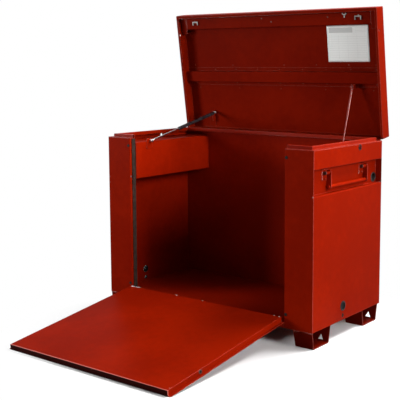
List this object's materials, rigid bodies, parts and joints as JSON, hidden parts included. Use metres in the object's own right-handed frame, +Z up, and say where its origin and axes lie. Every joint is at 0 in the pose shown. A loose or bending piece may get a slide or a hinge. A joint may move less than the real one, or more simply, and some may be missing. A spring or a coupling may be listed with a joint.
{
  "type": "jobsite box",
  "caption": "Steel jobsite chest on skids with a raised top lid, a front door let down as a ramp, recessed lift handles, side locks, a gas strut and a stay.",
  "frame": {"origin": "on the floor, under the middle of the opened chest, from the lowered door's far edge to the raised lid's back", "axes": "+X to the right as seen from the front, +Y to the back, +Z up"},
  "size_m": [1.2222, 1.4439, 1.5013],
  "materials": {
    "paint_body": "gloss red-brown powder coat",
    "paint_lid": "gloss red-brown powder coat",
    "paint_door": "gloss red-brown powder coat",
    "paint_handle": "gloss red-brown powder coat",
    "zinc": "zinc-plated steel",
    "bright": "bright rod",
    "black_strut": "satin black enamel",
    "rubber": "matt black",
    "seal": "matt grey-brown",
    "black_plastic": "moulded black",
    "card": "plain printed card"
  },
  "bodies": {
    "chest": {"right_side": "paint_body", "left_side": "paint_body", "back_wall": "paint_body", "floor_pan": "paint_body", "front_sill": "paint_body", "right_post": "paint_body", "left_post": "paint_body", "top_rim": "paint_body", "right_recess_cover": "paint_body", "left_recess_cover": "paint_body", "front_skids": "paint_body", "rear_skids": "paint_body", "weather_strips": "seal", "post_buffers": "rubber", "handle_brackets": "paint_body", "handle_pins": "zinc", "lock_cups": "zinc", "bolt_guides": "paint_body", "port_rings": "black_plastic", "lid_hinge_wall_leaf": "paint_body", "lid_hinge_pin": "zinc", "door_hinge_sill_leaf": "paint_body", "door_hinge_pin": "zinc", "strut_foot_bracket": "zinc", "stay_foot_bracket": "paint_lid"},
    "lid": {"lid_shell": "paint_lid", "lid_hinge_lid_leaf": "paint_lid", "lid_cross_channel": "paint_lid", "lid_front_rail": "paint_lid", "lid_corner_gussets": "paint_lid", "lid_latch_hoops": "zinc", "lid_clip": "zinc", "lid_card": "card", "strut_head_bracket": "zinc", "stay_head_bracket": "paint_lid"},
    "door": {"door_outer_skin": "paint_door", "door_inner_pan": "paint_door", "door_strikes": "zinc", "door_hinge_door_leaf": "paint_door"},
    "right_handle": {"right_handle_arms": "paint_handle", "right_handle_grip": "paint_handle"},
    "left_handle": {"left_handle_arms": "paint_handle", "left_handle_grip": "paint_handle"},
    "right_plug": {"right_lock_plug": "zinc"},
    "left_plug": {"left_lock_plug": "zinc"},
    "right_dead_bolt": {"right_bolt": "zinc"},
    "left_dead_bolt": {"left_bolt": "zinc"},
    "strut_lower": {"strut_foot_socket": "zinc", "strut_rod": "bright"},
    "strut_upper": {"strut_cylinder": "black_strut", "strut_head_socket": "zinc"},
    "stay_lower": {"stay_rod": "paint_lid"},
    "stay_upper": {"stay_tube": "paint_lid"}
  },
  "joints": [
    {"name": "lid_hinge", "type": "hinge", "parent": "chest", "child": "lid", "pos_m": [0, 0.65628, 0.871], "axis": [1, 0, 0], "range_deg": [0, 81.8]},
    {"name": "door_hinge", "type": "hinge", "parent": "chest", "child": "door", "pos_m": [0, 0.03838, 0.1064], "axis": [-1, 0, 0], "range_deg": [0, 97.83]},
    {"name": "right_handle_pivot", "type": "hinge", "parent": "chest", "child": "right_handle", "pos_m": [0.5906, 0.34648, 0.762], "axis": [0, -1, 0], "range_deg": [0, 90]},
    {"name": "left_handle_pivot", "type": "hinge", "parent": "chest", "child": "left_handle", "pos_m": [-0.5906, 0.34648, 0.762], "axis": [0, 1, 0], "range_deg": [0, 90]},
    {"name": "right_lock", "type": "hinge", "parent": "chest", "child": "right_plug", "pos_m": [0.5596, 0.62428, 0.697], "axis": [1, 0, 0], "range_deg": [0, 90]},
    {"name": "left_lock", "type": "hinge", "parent": "chest", "child": "left_plug", "pos_m": [-0.5596, 0.62428, 0.697], "axis": [1, 0, 0], "range_deg": [0, 90]},
    {"name": "right_bolt_slide", "type": "slide", "parent": "chest", "child": "right_dead_bolt", "axis": [-1, 0, 0], "range_m": [0, 0.022]},
    {"name": "left_bolt_slide", "type": "slide", "parent": "chest", "child": "left_dead_bolt", "axis": [1, 0, 0], "range_m": [0, 0.022]},
    {"name": "strut_pivot", "type": "hinge", "parent": "chest", "child": "strut_lower", "pos_m": [-0.441, 0.1764, 0.85], "axis": [-1, 0, 0], "range_deg": [0, 2.6]},
    {"name": "strut_slide", "type": "slide", "parent": "strut_lower", "child": "strut_upper", "axis": [0, -0.9743, -0.2255], "range_m": [0, 0.13634]},
    {"name": "stay_pivot", "type": "hinge", "parent": "chest", "child": "stay_lower", "pos_m": [0.443, 0.56149, 0.836], "axis": [1, 0, 0], "range_deg": [0, 84.63]},
    {"name": "stay_slide", "type": "slide", "parent": "stay_lower", "child": "stay_upper", "axis": [0, -0.293, -0.9561], "range_m": [0, 0.13196]}
  ],
  "couplings": [
    {"joint": "right_bolt_slide", "follows": "right_lock", "m_per_rad": 0.014006},
    {"joint": "left_bolt_slide", "follows": "left_lock", "m_per_rad": 0.014006},
    {"joint": "strut_pivot", "follows": "lid_hinge", "ratio": 0.031502},
    {"joint": "strut_slide", "follows": "lid_hinge", "m_per_rad": 0.095429},
    {"joint": "stay_pivot", "follows": "lid_hinge", "ratio": 1.0344},
    {"joint": "stay_slide", "follows": "lid_hinge", "m_per_rad": 0.092358}
  ]
}
